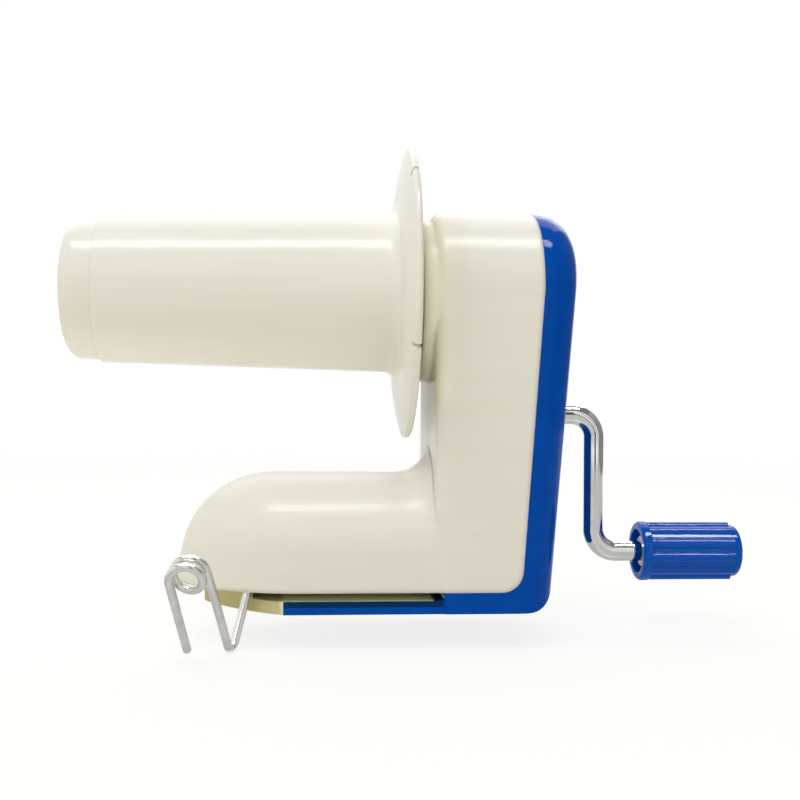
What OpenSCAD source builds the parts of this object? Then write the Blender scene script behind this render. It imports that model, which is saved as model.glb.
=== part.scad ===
// Hand-cranked yarn ball winder: a bobbin on an inclined rotor, geared to a crank,
// in a two-shell plastic casing with a wire yarn guide.
// X runs from the bobbin tip to the crank, Y across the casing and Z up.
// The origin is on the underside of the base.

/* [Casing] */
// Width of the upright from side to side
body_w = 52; // [51:0.5:56]
// Wall thickness of the casing shells
wall = 2.2; // [1.8:0.1:2.4]
// Front face of the upright
front_x = 4.1; // [3.8:0.1:4.6]
// Rounding of the front edges of the upright
front_round = 3.4; // [2.6:0.2:4]
// Height of the centre of the arched top
arch_z = 97; // [96:0.5:99]
// Rounding of the edges of the rear cover
rear_round = 12; // [10:0.5:13]
// Back face of the rear cover where it meets the base
back_x = 40.7; // [40:0.1:42]
// Backward lean of the rear cover, in degrees
back_lean = 4.5; // [4.2:0.1:5]
// Rounding of the lower back edge
base_round = 8.5; // [6:0.5:10]
// Place of the seam between the shells at the arch
seam_top_x = 36.4; // [36:0.1:37]
// Place of the seam between the shells near the base
seam_low_x = 30.6; // [29:0.2:31]
// Rounding of the lower corner of the seam
seam_round = 6.5; // [4:0.5:8]

/* [Foot] */
// Height of the deck above the base
deck_z = 40.5; // [38:0.5:43]
// Place of the tip of the nose
nose_tip_x = -74; // [-78:1:-72]
// Length of the rounded nose, seen from above
nose_plan_len = 36; // [32:1:40]
// Length over which the nose rises to the deck
nose_rise_len = 31; // [26:1:34]
// Height at which the sides turn over into the deck
shoulder_z = 18; // [14:1:22]
// Hollow rounding between the deck and the upright
deck_fillet = 10; // [6:0.5:11]
// Set-back of the foot and the rotor boss from the sides of the upright
side_step = 0.4; // [0.3:0.1:0.8]

/* [Clamp slot] */
// Thickness of the base tongue under the slot
tongue_t = 3.8; // [3:0.2:4.4]
// Height of the clamp slot
slot_h = 2.5; // [2:0.1:3.2]
// Rear end of the clamp slot
slot_end_x = 7.1; // [6:0.5:10]
// Front end of the clamp slot
slot_front_x = -50; // [-52:0.5:-46]
// Front end of the base tongue, where the nose pad starts
tongue_front_x = -40.6; // [-43:0.2:-38]
// Tip of the nose pad
pad_tip_x = -66; // [-68:0.5:-62]
// Thickness of the plate over the slot
ceiling_t = 2; // [1.6:0.2:3]
// Thickness of the slot floor let into the base tongue
floor_t = 0.8; // [0.6:0.1:1.2]
// Rounding at the rear end of the slot floor
slot_round = 2; // [1:0.2:2]

/* [Bobbin] */
// Height of the bobbin axis at rest
bobbin_z = 97.1; // [96.8:0.1:97.6]
// Outer radius of the tube beside the flange
tube_root_r = 24.8; // [24.4:0.1:25.4]
// Outer radius of the tube at its tip
tube_tip_r = 22.7; // [22:0.1:23.4]
// Tip of the tube, where the end cap starts
tube_tip_x = -98; // [-105:1:-90]
// Wall thickness of the bobbin tube
tube_wall = 2; // [1.6:0.1:2.2]
// Outer radius of the flange
flange_r = 45.8; // [42:0.2:47]
// Thickness of the flange
flange_t = 2; // [1.6:0.1:2.2]
// Backward flare of the flange from hub to rim, in degrees
flange_flare = 8.5; // [6:0.5:10]
// Front of the flange at its hub
flange_front_x = -6.6; // [-7.2:0.1:-6.4]
// Rounding between the tube and the flange
flange_fillet = 4; // [3:0.5:5]
// Number of yarn notches in the rim of the flange
notch_count = 5; // [3:1:8]
// Turn of the first yarn notch, in degrees
first_notch = 24; // [0:1:60]
// Radius of the end cap
cap_r = 21.8; // [21.4:0.1:22]
// Length of the end cap
cap_len = 10; // [8:0.5:12]
// Rounding of the end cap
cap_round = 4.5; // [3:0.5:6]

/* [Rotor] */
// Angle between the rotor axis and the bobbin axis, in degrees
tilt = 5.4; // [5.2:0.1:5.5]
// Place where the rotor axis crosses the bobbin axis
cross_x = -23.8; // [-24.2:0.1:-23.6]
// Radius of the rotor shaft
rotor_shaft_r = 2.5; // [2:0.1:2.6]
// Radius of the rotor head
rotor_head_r = 12.8; // [12:0.1:13]
// Thickness of the rotor head
rotor_head_t = 4; // [3.4:0.1:4.2]
// Radius of the spindle under the bobbin
spindle_r = 3; // [2.6:0.1:3.4]
// Front face of the rotor boss
boss_face_x = 0.5; // [0.3:0.1:1]
// Rounding of the front edge of the rotor boss
boss_round = 2.4; // [1.8:0.2:2.8]
// Radius of the gear recess in the rotor boss
recess_r = 22; // [21.8:0.1:22.6]

/* [Gears] */
// Pressure angle of all gears, in degrees
press_angle = 25; // [22:0.5:27]
// Thinning of each gear tooth for running play
tooth_play = 0.14; // [0.1:0.01:0.2]
// Module of the drive gear and the idler pinion
drive_m = 1; // [0.98:0.01:1.02]
// Teeth of the drive gear on the crank
drive_teeth = 33; // [32:1:34]
// Teeth of the idler pinion
idler_pinion_teeth = 11; // [10:1:12]
// Module of the idler gear and the rotor pinion
rotor_m = 0.8; // [0.78:0.01:0.82]
// Teeth of the idler gear
idler_teeth = 16; // [15:1:17]
// Teeth of the rotor pinion
rotor_teeth = 12; // [11:1:13]
// Module of the sun, planet and ring gears
sun_m = 0.75; // [0.74:0.01:0.76]
// Teeth of the fixed sun gear
sun_teeth = 14; // [13:1:14]
// Teeth of the planet gear
planet_teeth = 12; // [11:1:12]
// Teeth of the ring gear in the bobbin
ring_teeth = 44; // [43:1:44]

/* [Crank] */
// Radius of the crank rod
rod_r = 3.25; // [2.8:0.05:3.5]
// Throw of the crank
crank_throw = 44.3; // [40:0.1:46]
// Place of the crank arm
arm_x = 58.3; // [57:0.1:62]
// Bend radius of the crank rod
bend_r = 7.5; // [6:0.5:8]
// Near end of the knob
knob_x = 72.8; // [70:0.2:76]
// Length of the knob
knob_len = 32.8; // [28:0.2:36]
// Outer radius of the knob over its ribs
knob_r = 9.5; // [8.5:0.1:10.5]
// Number of ribs on the knob
rib_count = 11; // [8:1:14]

/* [Yarn guide] */
// Diameter of the guide wire
wire_d = 2.5; // [2:0.1:2.6]
// Mean radius of the eye
eye_r = 4.35; // [4:0.05:5]
// Rise of the eye in one turn
eye_pitch = 4; // [3.6:0.1:5]
// Turns of the eye
eye_turns = 1.5; // [1.5:1:2.5]
// Upward tilt of the axis of the eye, in degrees
eye_tilt = 25; // [20:1:32]
// Turn of the axis of the eye to the rear, in degrees
eye_swing = 12; // [6:1:18]

/* [Fits] */
// Radial running clearance of a shaft in its bore
run_gap = 0.05; // [0.03:0.01:0.08]
// Clear space between neighbouring parts that do not touch
side_gap = 0.4; // [0.3:0.05:0.5]

/* [Hidden] */
$fn = 64;
cream = "#f1eee0";
nylon = "#e4e0d2";
blue = "#0d4fb0";
steel = "#b9bcc0";
brass = "#b9975a";

half_w = body_w / 2;
foot_half = half_w - side_step;
boss_r = foot_half;
floor_inset = 1.2;
skirt_z = tongue_t + slot_h;
ceiling_z = skirt_z + ceiling_t;
nose_low_z = skirt_z + 2.1;
foot_arcs = 24;
nose_steps = 16;
fillet_steps = 8;
far = 200;

// The rotor axis, and the steps along it from the point where it crosses the bobbin axis
cross_pt = [cross_x, 0, bobbin_z];
function along_rotor(x) = (x - cross_x) / cos(tilt);
function rotor_z(x) = bobbin_z - (x - cross_x) * tan(tilt);
recess_floor_x = 6.1;
recess_floor_s = along_rotor(recess_floor_x);
gear_wall_x = 10.6;
boss_z = rotor_z(boss_face_x + 2.5);

// Tooth proportions, in modules
tooth_top = 0.8;
tooth_root = 1.25;

// Gear planes, and the line of axes from the rotor down to the crank
rotor_gear_x = 23;
rotor_gear_t = 4;
rotor_hub_len = 5;
rotor_hub_r = rotor_shaft_r + 1.3;
drive_gear_x = 30.5;
drive_gear_t = 4.5;
idler_z = rotor_z(rotor_gear_x + rotor_gear_t / 2) - rotor_m * (idler_teeth + rotor_teeth) / 2;
crank_z = idler_z - drive_m * (drive_teeth + idler_pinion_teeth) / 2;
planet_c = sun_m * (sun_teeth + planet_teeth) / 2;
ring_pitch_r = sun_m * ring_teeth / 2;

// The planetary gears, in steps along the rotor axis
planet_s = 22.2;
planet_t = 4;
sun_over = 0.2;
sun_s = planet_s - sun_over;
sun_t = planet_t + 2 * sun_over;
sun_root_r = sun_m * (sun_teeth / 2 - tooth_root);
sun_flange_t = 1.4;
sun_flange_r = 8;
sun_flange_s = recess_floor_s - sun_flange_t;
sun_spigot_r = 5;
sun_spigot_end_s = along_rotor(gear_wall_x) + 1.6;
planet_pin_r = 1.5;
planet_head_r = 2.4;
planet_head_t = 1;
planet_hub_t = 3.2;
planet_hub_r = planet_pin_r + 1.2;
rotor_head_s = planet_s - planet_hub_t - rotor_head_t;
planet_pin_s = rotor_head_s + 0.8;
head_end_s = rotor_head_s + rotor_head_t;
thrust_washer_r = rotor_shaft_r + 1.6;
rotor_end_s = along_rotor(42.5);
rotor_bush_s = along_rotor(36);
rotor_bush_flange_t = 1.2;
rotor_bush_r = 5;
rotor_bush_flange_r = rotor_bush_r + 1.6;
rotor_boss_wall = 2.4;
shaft_end_gap = 0.6;
clip_t = 1.2;
clip_r = 5;

// The ring gear cup inside the bobbin
ring_x = -3.6;
ring_t = 5.4;
ring_outer_r = ring_pitch_r + 2.5;
ring_inner_r = ring_pitch_r + 1;
ring_plate_x = -12;
ring_plate_t = 2;
ring_plate_hole_r = 15;
tube_root_x = flange_front_x - flange_fillet;
bobbin_bore_r = tube_root_r - tube_wall - 0.4;
web_t = 2;
web_x = ring_plate_x - web_t;

// The hub on the rotor head that holds the spindle
hub_r = spindle_r + 2.5;
hub_end_x = -18;
spindle_seat_x = -9.6;
sleeve_r = spindle_r + 3.5;
sleeve_end_x = -72;
sleeve_cup_x = hub_end_x - 1;
sleeve_cup_r = hub_r + 0.7;
spindle_end_x = sleeve_end_x - side_gap;
spindle_washer_t = 0.8;
spindle_washer_r = sleeve_r - 0.5;
screw_core_r = 1.25;
screw_head_r = 2.75;
screw_head_t = 2;

// Bearings of the crank and the idler
rod_front_x = 9;
rod_seat_t = 1;
crank_boss_wall = 3.2;
crank_boss_r = rod_r + crank_boss_wall;
crank_boss_end_x = 26;
idler_axle_r = 2;
idler_boss_wall = 2.4;
idler_boss_r = idler_axle_r + idler_boss_wall;
idler_axle_x = 11;
idler_boss_end_x = rotor_gear_x - 0.5;
idler_axle_end_x = 41;
idler_hub_r = drive_m * (idler_pinion_teeth / 2 - tooth_root);
idler_rear_boss_x = drive_gear_x + drive_gear_t + 0.5;
drive_hub_r = 7;
drive_hub_t = 3.4;
drive_hub_end_x = drive_gear_x + drive_gear_t + drive_hub_t;
drive_pin_r = 1;
drive_pin_x = drive_hub_end_x - drive_hub_t / 2;
washer_t = 0.8;
crank_bush_x = drive_hub_end_x + washer_t + 2 * run_gap;
crank_bush_wall = 1.8;
crank_bush_r = rod_r + crank_bush_wall;
crank_bush_flange_r = crank_bush_r + 1.8;
crank_rear_boss_r = crank_bush_r + 2.6;
crank_bush_flange_t = 1.2;
crank_bush_end_x = back_x + crank_z * tan(back_lean) + 0.6;

// The knob on the crank rod
knob_z = crank_z - crank_throw;
knob_collar = 2.8;
knob_end_land = 4;
knob_recess = 3;
knob_wall = 2.4;
rib_r = 1.7;
rib_top_r = knob_r - 0.2;

// Screws that hold the shells together, as places across and up
screw_r = 1.5;
post_r = 3.8;
low_screw_edge = 12.5;
screw_side = half_w - low_screw_edge;
low_screw_z = 30;
high_screw_edge = 11;
high_screw_z = arch_z + half_w - high_screw_edge;
casing_screw_at = [[0, high_screw_z], [screw_side, low_screw_z], [-screw_side, low_screw_z]];
casing_screw_start_x = 18;
post_start_x = 14;
screw_sink = 3.6;
screw_len = 20;
function casing_screw_head_x(z) = back_x + z * tan(back_lean) - screw_sink;
post_rib_t = 1.6;
post_rib_w = half_w - wall / 2 - screw_side;
post_end_gap = 0.2;
plate_gap = 0.3;
foot_screw_at = [[-54, 7], [-54, -7]];
foot_screw_top_z = 18;
foot_screw_head_z = 3;
foot_screw_len = foot_screw_top_z - foot_screw_head_z - 0.5;

// The yarn guide: the wire turns in the casing about its first leg
guide_seat = [-51.3, -20.5, 6.2];
guide_bend = [-55.8, -24, -12.3];
eye_centre = [-64.8, -48, 17];
guide_free_leg = [2.6, 20.5, -22.8];
guide_bend_r = 2.6;
guide_seat_len = 9;
guide_boss_r = 3.8;
guide_leg_dir = unit(guide_seat - guide_bend);
guide_hole_at = guide_seat + guide_leg_dir * (skirt_z + ceiling_t / 2 - guide_seat[2]) / guide_leg_dir[2];
guide_hole_r = guide_boss_r / guide_leg_dir[2] + ceiling_t * tan(acos(guide_leg_dir[2])) / 2 + plate_gap;

// Unit vector
function unit(v) = v / norm(v);

// Points on an arc in a plane
function arc(c, r, from, to, n = 8) =
    [for (i = [0:n]) c + r * [cos(from + (to - from) * i / n), sin(from + (to - from) * i / n)]];

// Carry a shape from its own XY plane so that it is extruded along X
module along_x(x, len) {
    translate([x, 0, 0])
        rotate([90, 0, 90])
            linear_extrude(len)
                children();
}

// Extrude an outline drawn in X and Z to both sides of the middle plane
module across(width) {
    translate([0, width / 2, 0])
        rotate([90, 0, 0])
            linear_extrude(width)
                children();
}

// Turn an outline drawn as radius and X about the X axis
module turned() {
    rotate([0, 90, 0])
        rotate_extrude()
            children();
}

// Upper half of the same turned shape
module turned_top() {
    rotate([0, 90, 0])
        rotate([0, 0, 90])
            rotate_extrude(angle = 180)
                children();
}

// Round bar along X
module bar(x, len, r) {
    translate([x, 0, 0])
        rotate([0, 90, 0])
            cylinder(h = len, r = r);
}

// Ring along X
module ring(x, len, r, hole_r) {
    along_x(x, len)
        difference() {
            circle(r);
            circle(hole_r);
        }
}

// Place shapes drawn about the X axis on the rotor axis
module on_rotor() {
    translate(cross_pt)
        rotate([0, tilt, 0])
            children();
}

// Place shapes drawn about the X axis on the bobbin axis
module on_bobbin() {
    translate([0, 0, bobbin_z])
        children();
}

// Place shapes drawn about the X axis on the planet axis
module on_planet() {
    on_rotor()
        translate([0, 0, -planet_c])
            children();
}

// Involute tooth: the half angle of a tooth at a radius
function involute_angle(a) = tan(a) * 180 / PI - a;
function half_tooth(z, m, r, play) =
    let (pitch = m * z / 2, base = pitch * cos(press_angle))
        90 / z - play / 2 / pitch * 180 / PI + involute_angle(press_angle)
            - involute_angle(acos(min(1, base / r)));
function tooth(z, m, at, root, tip, play, n = 5) =
    let (
        base = m * z / 2 * cos(press_angle),
        low = max(root, base + 0.001),
        radii = concat(root < base ? [root] : [], [for (i = [0:n]) low + (tip - low) * i / n]),
        half = [for (r = radii) half_tooth(z, m, max(r, base), play)],
        last = len(radii) - 1,
        right = [for (i = [0:last]) radii[i] * [cos(at - half[i]), sin(at - half[i])]],
        left = [for (i = [0:last]) radii[i] * [cos(at + half[i]), sin(at + half[i])]]
    )
        concat(right, [for (i = [last:-1:0]) left[i]]);

// Gear outline with a tooth at the angle given
module gear(z, m, at) {
    root = m * (z / 2 - tooth_root);
    tip = m * (z / 2 + tooth_top);
    polygon([for (i = [0:z - 1]) each tooth(z, m, at + 360 * i / z, root, tip, tooth_play)]);
}

// Hole of an internal gear, with a tooth space at the angle given
module gear_hole(z, m, at) {
    root = m * (z / 2 - tooth_top);
    tip = m * (z / 2 + tooth_root);
    polygon([for (i = [0:z - 1]) each tooth(z, m, at + 360 * i / z, root, tip, -tooth_play)]);
}

// Upright of the front casing, with an arched top and rounded front edges
module upright(inset) {
    x = front_x + inset;
    w = half_w - inset;
    r = max(front_round - inset, 0.5);
    len = 80;
    translate([0, 0, -20])
        linear_extrude(arch_z + 20)
            union() {
                translate([x + r, -w])
                    square([len, 2 * w]);
                translate([x, r - w])
                    square([len, 2 * (w - r)]);
                for (side = [-1, 1])
                    translate([x + r, side * (w - r)])
                        circle(r);
            }
    translate([0, 0, arch_z])
        turned_top() {
            translate([0, x + r])
                square([w, len]);
            translate([0, x])
                square([w - r, len]);
            translate([w - r, x + r])
                circle(r);
        }
}

// Leaning form of the rear cover, with an arched top and well rounded back edges
module rear_form(inset) {
    w = half_w - inset;
    r = rear_round - inset;
    flat = half_w - rear_round;
    len = 80;
    top_z = (seam_top_x - back_x) * sin(back_lean) + arch_z * cos(back_lean);
    translate([back_x, 0, 0])
        rotate([0, back_lean, 0]) {
            translate([0, 0, -20])
                linear_extrude(top_z + 20)
                    union() {
                        translate([-len, -w])
                            square([len - rear_round, 2 * w]);
                        translate([-len, -flat])
                            square([len - inset, 2 * flat]);
                        for (side = [-1, 1])
                            translate([-rear_round, side * flat])
                                circle(r);
                    }
            translate([0, 0, top_z])
                turned_top() {
                    translate([0, -len])
                        square([w, len - rear_round]);
                    translate([0, -len])
                        square([flat, len - inset]);
                    intersection() {
                        translate([flat, -rear_round])
                            circle(r);
                        translate([0, -rear_round])
                            square([w, rear_round]);
                    }
                }
        }
}

// Side view of the space in front of the seam and above the skirt
module seam_outline() {
    corner = [seam_low_x - seam_round, skirt_z + seam_round];
    polygon(concat(
        [[-far, skirt_z]],
        arc(corner, seam_round, -90, 0),
        [[seam_top_x, arch_z], [seam_top_x, far], [-far, far]]
    ));
}

// Side view of the rear cover: behind the seam, with a step for the clamp slot
module rear_outline() {
    corner_x = back_x + base_round * tan(back_lean) - base_round;
    difference() {
        translate([slot_end_x, 0])
            square([far, far]);
        seam_outline();
        difference() {
            translate([corner_x, -1])
                square([far, base_round + 1]);
            translate([corner_x, base_round])
                circle(base_round);
        }
    }
}

// Half width of the foot and height of its crown along X
function nose_share(x, start, length, power) =
    pow(max(0, 1 - pow(max(0, start - x) / length, power)), 1 / power);
function foot_width(x, inset) =
    (foot_half - inset) * nose_share(x, nose_tip_x + nose_plan_len, nose_plan_len - inset, 1.7);
function deck_rise(x) =
    let (d = x - front_x + deck_fillet, r = deck_fillet)
        d <= 0 ? 0 : r - sqrt(max(0, r * r - pow(min(d, r - 0.2), 2)));
function foot_share(x, inset) =
    nose_share(x, nose_tip_x + nose_rise_len, nose_rise_len - inset, 2.2);
function foot_top(x, inset) =
    nose_low_z + (deck_z - inset - nose_low_z) * foot_share(x, inset) + deck_rise(x);
function foot_shoulder(x, inset) =
    skirt_z + (shoulder_z - skirt_z) * foot_share(x, inset);

// One section of the foot across X, from the low left corner over the crown
function foot_section(x, inset) =
    let (w = foot_width(x, inset), top = foot_top(x, inset), low = foot_shoulder(x, inset), n = foot_arcs)
        concat(
            [[x, -w, 0]],
            [for (i = [0:n]) [x, -w * cos(180 * i / n), low + (top - low) * sin(180 * i / n)]],
            [[x, w, 0]]
        );
function foot_stations(inset) =
    let (tip = nose_tip_x + inset, plan_end = nose_tip_x + nose_plan_len, rise = front_x - deck_fillet)
        concat(
            [for (i = [1:nose_steps]) tip + (plan_end - tip) * (1 - cos(90 * (i - 0.4) / nose_steps))],
            [(plan_end + rise) / 2],
            [for (i = [0:fillet_steps]) rise + (deck_fillet - 0.2) * sin(90 * i / fillet_steps)],
            [front_x + wall + 1.5]
        );

// Skin of triangles through a row of closed sections
module loft(rows) {
    n = len(rows[0]);
    last = len(rows) - 1;
    points = [for (row = rows) each row];
    sides = [
        for (i = [0:last - 1], j = [0:n - 1])
            let (a = i * n + j, b = i * n + (j + 1) % n, c = a + n, d = b + n)
                each [[a, b, d], [a, d, c]]
    ];
    first_cap = [for (j = [n - 1:-1:0]) j];
    last_cap = [for (j = [0:n - 1]) last * n + j];
    polyhedron(points, concat(sides, [first_cap, last_cap]));
}

module foot(inset) {
    loft([for (x = foot_stations(inset)) foot_section(x, inset)]);
}

// Rotor boss on the front of the upright
module rotor_boss() {
    r = boss_round;
    len = front_x + wall - boss_face_x;
    translate([0, 0, boss_z])
        turned() {
            translate([0, boss_face_x + r])
                square([boss_r, len - r]);
            translate([0, boss_face_x])
                square([boss_r - r, len]);
            translate([boss_r - r, boss_face_x + r])
                circle(r);
        }
}

// Straight leg of the guide wire, from inside the casing to the bend
module on_guide_leg() {
    translate(guide_seat)
        rotate([0, acos(guide_leg_dir[2]), atan2(guide_leg_dir[1], guide_leg_dir[0])])
            rotate([0, 0, 50])
                children();
}

// Hollow of the front casing, behind a thick wall at the rotor boss
module front_hollow() {
    difference() {
        upright(wall);
        translate([-far, -half_w, boss_z - boss_r - wall / 2])
            cube([far + gear_wall_x, body_w, far]);
    }
    foot(wall);
}

// Posts and bosses inside the front casing
module front_bosses() {
    start_x = front_x + wall / 2;
    translate([0, 0, crank_z])
        bar(start_x, crank_boss_end_x - start_x, crank_boss_r);
    translate([0, 0, idler_z])
        bar(gear_wall_x - 1, idler_boss_end_x - gear_wall_x + 1, idler_boss_r);
    for (at = casing_screw_at)
        translate([0, at[0], at[1]])
            bar(at[0] == 0 ? gear_wall_x - 1 : post_start_x, far, post_r);
    for (y = [screw_side, -screw_side - post_rib_w])
        translate([post_start_x, y, low_screw_z - post_rib_t / 2])
            cube([far, post_rib_w, post_rib_t]);
}

// Posts inside the foot for the plate screws and the guide wire
module foot_bosses() {
    for (at = foot_screw_at)
        translate([at[0], at[1], ceiling_z])
            cylinder(h = deck_z, r = post_r);
    on_guide_leg()
        translate([0, 0, -2])
            cylinder(h = guide_seat_len + 4, r = guide_boss_r);
}

module front_casing() {
    color(cream)
        difference() {
            intersection() {
                union() {
                    difference() {
                        union() {
                            upright(0);
                            rotor_boss();
                            foot(0);
                        }
                        front_hollow();
                    }
                    front_bosses();
                    intersection() {
                        foot(wall / 2);
                        foot_bosses();
                    }
                }
                across(far)
                    seam_outline();
            }
            on_rotor() {
                bar(recess_floor_s - 20, 20, recess_r);
                bar(recess_floor_s - 1, far, sun_spigot_r);
            }
            translate([0, 0, crank_z])
                bar(rod_front_x - rod_seat_t, far, rod_r + run_gap);
            translate([0, 0, idler_z])
                bar(idler_axle_x, far, idler_axle_r);
            for (at = casing_screw_at)
                translate([0, at[0], at[1]])
                    bar(casing_screw_start_x, far, screw_r);
            for (at = foot_screw_at)
                translate([at[0], at[1], 0])
                    cylinder(h = foot_screw_top_z, r = screw_r);
            on_guide_leg()
                translate([0, 0, -3])
                    cylinder(h = guide_seat_len + 3.3, r = wire_d / 2 + run_gap);
        }
}

// Bosses inside the rear cover for the rotor bush, crank bush, idler axle and screws
module rear_bosses() {
    on_rotor()
        bar(rotor_bush_s + rotor_bush_flange_t, far, rotor_bush_r + rotor_boss_wall);
    translate([0, 0, crank_z])
        bar(crank_bush_x + crank_bush_flange_t, far, crank_rear_boss_r);
    translate([0, 0, idler_z])
        bar(idler_rear_boss_x, far, idler_boss_r);
    for (at = casing_screw_at)
        translate([0, at[0], at[1]])
            bar(casing_screw_start_x, far, post_r);
}

module rear_cover() {
    color(blue)
        difference() {
            union() {
                intersection() {
                    difference() {
                        rear_form(0);
                        intersection() {
                            rear_form(wall);
                            translate([slot_end_x + wall, -half_w, tongue_t])
                                cube([far, body_w, far]);
                        }
                    }
                    across(far)
                        rear_outline();
                }
                intersection() {
                    rear_form(wall / 2);
                    rear_bosses();
                    across(far)
                        difference() {
                            rear_outline();
                            translate([0, post_end_gap])
                                seam_outline();
                        }
                }
                translate([tongue_front_x, -foot_half, 0])
                    cube([slot_end_x + wall - tongue_front_x, 2 * foot_half, tongue_t]);
                across(2 * foot_half)
                    difference() {
                        translate([slot_end_x - slot_round, tongue_t - slot_round])
                            square([slot_round + wall / 2, 2 * slot_round]);
                        translate([slot_end_x - slot_round, tongue_t + slot_round])
                            circle(slot_round);
                    }
            }
            slot_floor(plate_gap);
            on_rotor() {
                bar(rotor_bush_s, rotor_end_s + shaft_end_gap - rotor_bush_s, rotor_bush_r);
                bar(0, rotor_bush_s + rotor_bush_flange_t, rotor_bush_flange_r + side_gap);
            }
            translate([0, 0, crank_z])
                bar(0, far, crank_bush_r);
            translate([0, 0, idler_z])
                bar(0, idler_axle_end_x, idler_axle_r);
            for (at = casing_screw_at)
                translate([0, at[0], at[1]]) {
                    bar(0, far, screw_r);
                    bar(casing_screw_head_x(at[1]) - screw_head_t, far, screw_head_r + 0.2);
                }
        }
}

// Plate under the foot: ceiling of the clamp slot and pad under the nose
module foot_plate() {
    color(cream)
        difference() {
            union() {
                translate([0, 0, skirt_z])
                    linear_extrude(ceiling_t)
                        plate_outline(wall + plate_gap);
                linear_extrude(tongue_t)
                    pad_outline();
                slot_floor(0);
                linear_extrude(skirt_z + ceiling_t / 2)
                    intersection() {
                        pad_outline();
                        translate([-far, -far / 2])
                            square([far + slot_front_x, far]);
                    }
            }
            for (at = foot_screw_at)
                translate([at[0], at[1], 0]) {
                    translate([0, 0, -1])
                        cylinder(h = far, r = screw_r);
                    translate([0, 0, -1])
                        cylinder(h = foot_screw_head_z + 1, r = screw_head_r + 0.2);
                }
            translate([guide_hole_at[0], guide_hole_at[1], skirt_z - plate_gap])
                cylinder(h = far, r = guide_hole_r);
        }
}

// Floor of the slot, a leaf of the nose pad that lies in a pocket of the tongue
module slot_floor(gap) {
    floor_half = foot_half - floor_inset + gap;
    floor_end_x = slot_end_x - slot_round - floor_inset + gap;
    translate([tongue_front_x - floor_inset, -floor_half, tongue_t - floor_t])
        cube([floor_end_x - tongue_front_x + floor_inset, 2 * floor_half, floor_t + gap]);
}

module plate_outline(inset) {
    end_x = slot_end_x - plate_gap;
    xs = concat([for (x = foot_stations(inset)) if (x < end_x - 1) x], [end_x]);
    n = len(xs) - 1;
    polygon(concat(
        [for (i = [0:n]) [xs[i], -foot_width(xs[i], inset)]],
        [for (i = [n:-1:0]) [xs[i], foot_width(xs[i], inset)]]
    ));
}
module pad_outline() {
    length = tongue_front_x - pad_tip_x;
    w = foot_half - 0.6;
    n = 16;
    function pad_x(i) = tongue_front_x - length * sin(90 * i / n);
    function pad_w(i) = w * nose_share(pad_x(i), tongue_front_x, length, 1.25);
    polygon(concat(
        [for (i = [0:n]) [pad_x(i), -pad_w(i)]],
        [for (i = [n - 1:-1:0]) [pad_x(i), pad_w(i)]]
    ));
}

// Screws along X that join the shells
module casing_screws() {
    color(steel)
        for (at = casing_screw_at)
            translate([casing_screw_head_x(at[1]), at[0], at[1]]) {
                bar(-screw_len, screw_len - screw_head_t / 2, screw_r);
                difference() {
                    bar(-screw_head_t, screw_head_t, screw_head_r);
                    cross_slot(0);
                }
            }
}
module cross_slot(x) {
    for (turn = [0, 90])
        rotate([turn, 0, 0])
            translate([x - 0.9, -1.6, -0.35])
                cube([2, 3.2, 0.7]);
}

// Screws from below that hold the foot plate
module foot_screws() {
    color(steel)
        for (at = foot_screw_at)
            translate([at[0], at[1], foot_screw_head_z])
                rotate([0, 90, 0]) {
                    bar(-foot_screw_len, foot_screw_len, screw_r);
                    difference() {
                        bar(0, screw_head_t, screw_head_r);
                        cross_slot(screw_head_t);
                    }
                }
}

// Sun gear: fixed in the casing, and front bearing of the rotor
module sun_gear() {
    color(nylon)
        on_rotor()
            difference() {
                union() {
                    along_x(sun_s, sun_t)
                        gear(sun_teeth, sun_m, 270);
                    bar(sun_s + sun_t, recess_floor_s - sun_s - sun_t, sun_root_r);
                    bar(sun_flange_s, sun_flange_t, sun_flange_r);
                    bar(sun_flange_s, sun_spigot_end_s - sun_flange_s, sun_spigot_r);
                }
                bar(0, far, rotor_shaft_r + run_gap);
            }
}

module rotor_bush() {
    color(brass)
        on_rotor() {
            difference() {
                union() {
                    bar(rotor_bush_s, rotor_bush_flange_t, rotor_bush_flange_r);
                    bar(rotor_bush_s, rotor_end_s - rotor_bush_s, rotor_bush_r);
                }
                bar(0, far, rotor_shaft_r + run_gap);
            }
        }
}

module crank_bush() {
    color(brass)
        translate([0, 0, crank_z])
            difference() {
                union() {
                    bar(crank_bush_x, crank_bush_flange_t, crank_bush_flange_r);
                    bar(crank_bush_x, crank_bush_end_x - crank_bush_x, crank_bush_r);
                }
                bar(0, far, rod_r + run_gap);
            }
}

module crank_washer() {
    color(steel)
        translate([0, 0, crank_z])
            ring(drive_hub_end_x + run_gap, washer_t, drive_hub_r - 0.6, rod_r + run_gap);
}

module idler_axle() {
    color(steel)
        translate([0, 0, idler_z])
            bar(idler_axle_x, idler_axle_end_x - idler_axle_x, idler_axle_r);
}

// Idler: a gear for the rotor and a pinion for the drive gear on one hub
module idler_gear() {
    color(nylon)
        translate([0, 0, idler_z])
            difference() {
                union() {
                    along_x(rotor_gear_x, rotor_gear_t)
                        gear(idler_teeth, rotor_m, 90);
                    bar(rotor_gear_x + rotor_gear_t / 2, drive_gear_x - rotor_gear_x, idler_hub_r);
                    along_x(drive_gear_x - 0.5, drive_gear_t + 0.5)
                        gear(idler_pinion_teeth, drive_m, 270 + 180 / idler_pinion_teeth);
                }
                bar(0, far, idler_axle_r + run_gap);
            }
}

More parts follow.
